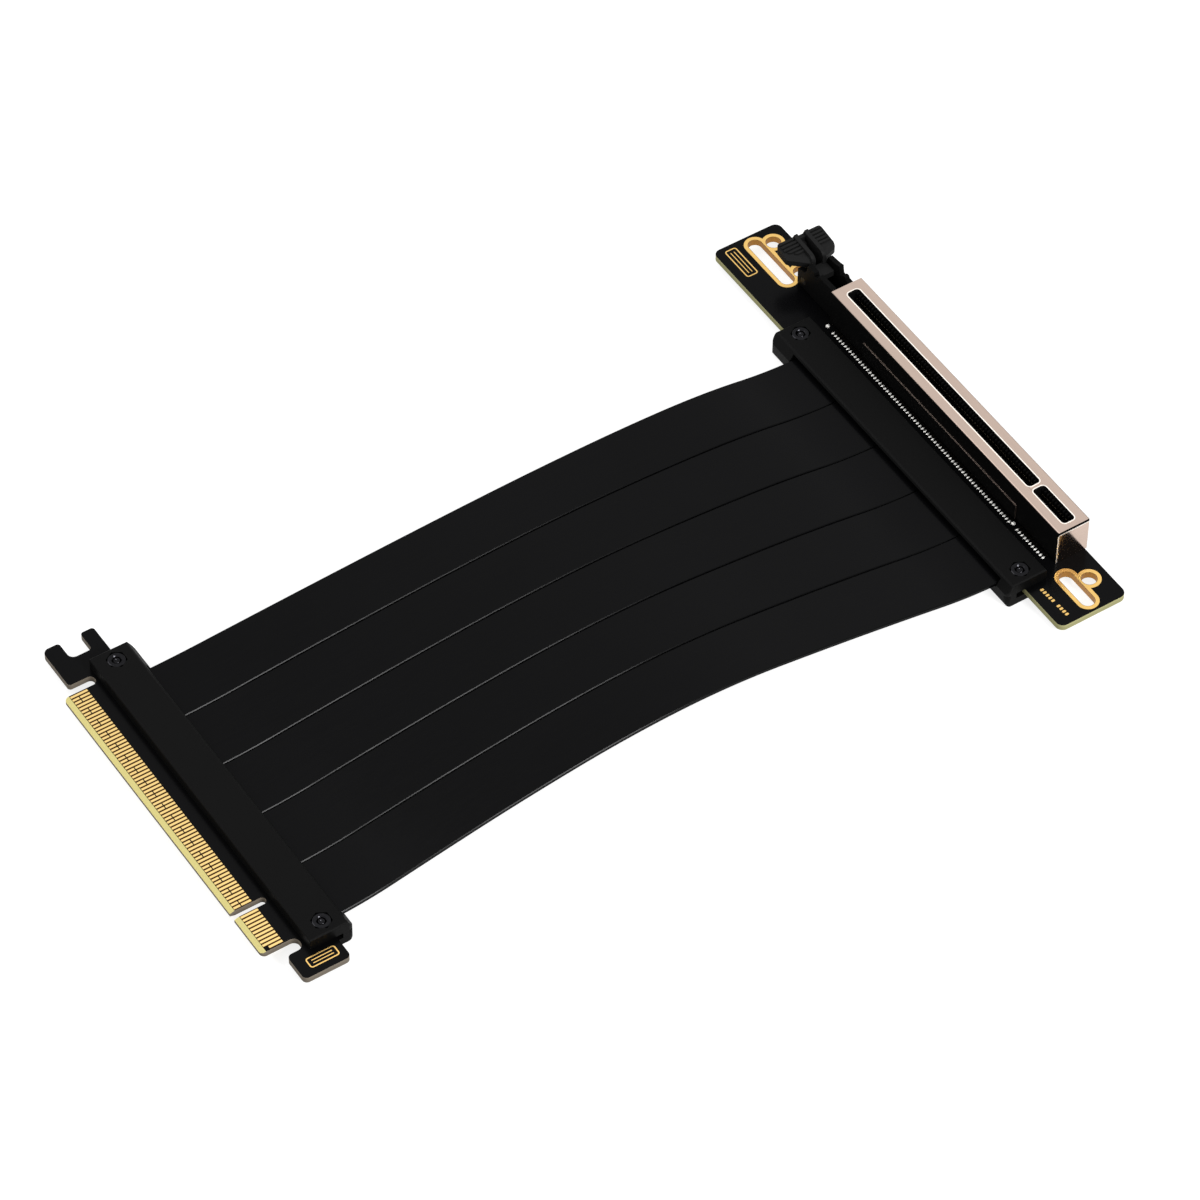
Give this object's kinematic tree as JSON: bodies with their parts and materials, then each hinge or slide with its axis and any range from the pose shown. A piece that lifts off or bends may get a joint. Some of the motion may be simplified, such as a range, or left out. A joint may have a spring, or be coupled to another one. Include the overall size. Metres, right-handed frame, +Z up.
{
  "type": "expansion card extension cable",
  "caption": "Flat ribbon extension cable joining a card-edge plug to a shielded card slot with a pivoting retention latch, for mounting an expansion card away from its slot.",
  "frame": {"origin": "middle of the length and of the socket board's width, on the surface the part lies on", "axes": "+X along the cable from the plug to the slot, +Y across it towards the hook and latch, +Z up"},
  "size_m": [0.217, 0.1392, 0.0162],
  "materials": {
    "board": "black solder mask, satin",
    "gold": "gold plating",
    "cover": "black moulded, fine satin grain",
    "fastener": "black oxide",
    "moulding": "black moulded",
    "tin": "tin-plated copper alloy",
    "shield": "bright nickel plating",
    "ribbon": "black jacket, satin"
  },
  "bodies": {
    "base": {"plug_board": "board", "plug_contacts_bottom": "gold", "plug_contacts_top": "gold", "plug_lower_cover": "cover", "plug_nuts": "fastener", "plug_screws": "fastener", "plug_upper_cover": "cover", "ribbon_1": "ribbon", "ribbon_2": "ribbon", "ribbon_3": "ribbon", "ribbon_4": "ribbon", "ribbon_5": "ribbon", "slot_contacts_inner": "tin", "slot_contacts_outer": "tin", "slot_housing": "moulding", "slot_shield": "shield", "socket_board": "board", "socket_lower_cover": "cover", "socket_nuts": "fastener", "socket_screws": "fastener", "socket_upper_cover": "cover"},
    "latch": {"slot_latch": "moulding"}
  },
  "joints": [
    {"name": "latch_pivot", "type": "hinge", "parent": "base", "child": "latch", "pos_m": [0.1028, 0.04825, 0.0062], "axis": [-1, 0, 0], "range_deg": [0, 30]}
  ]
}
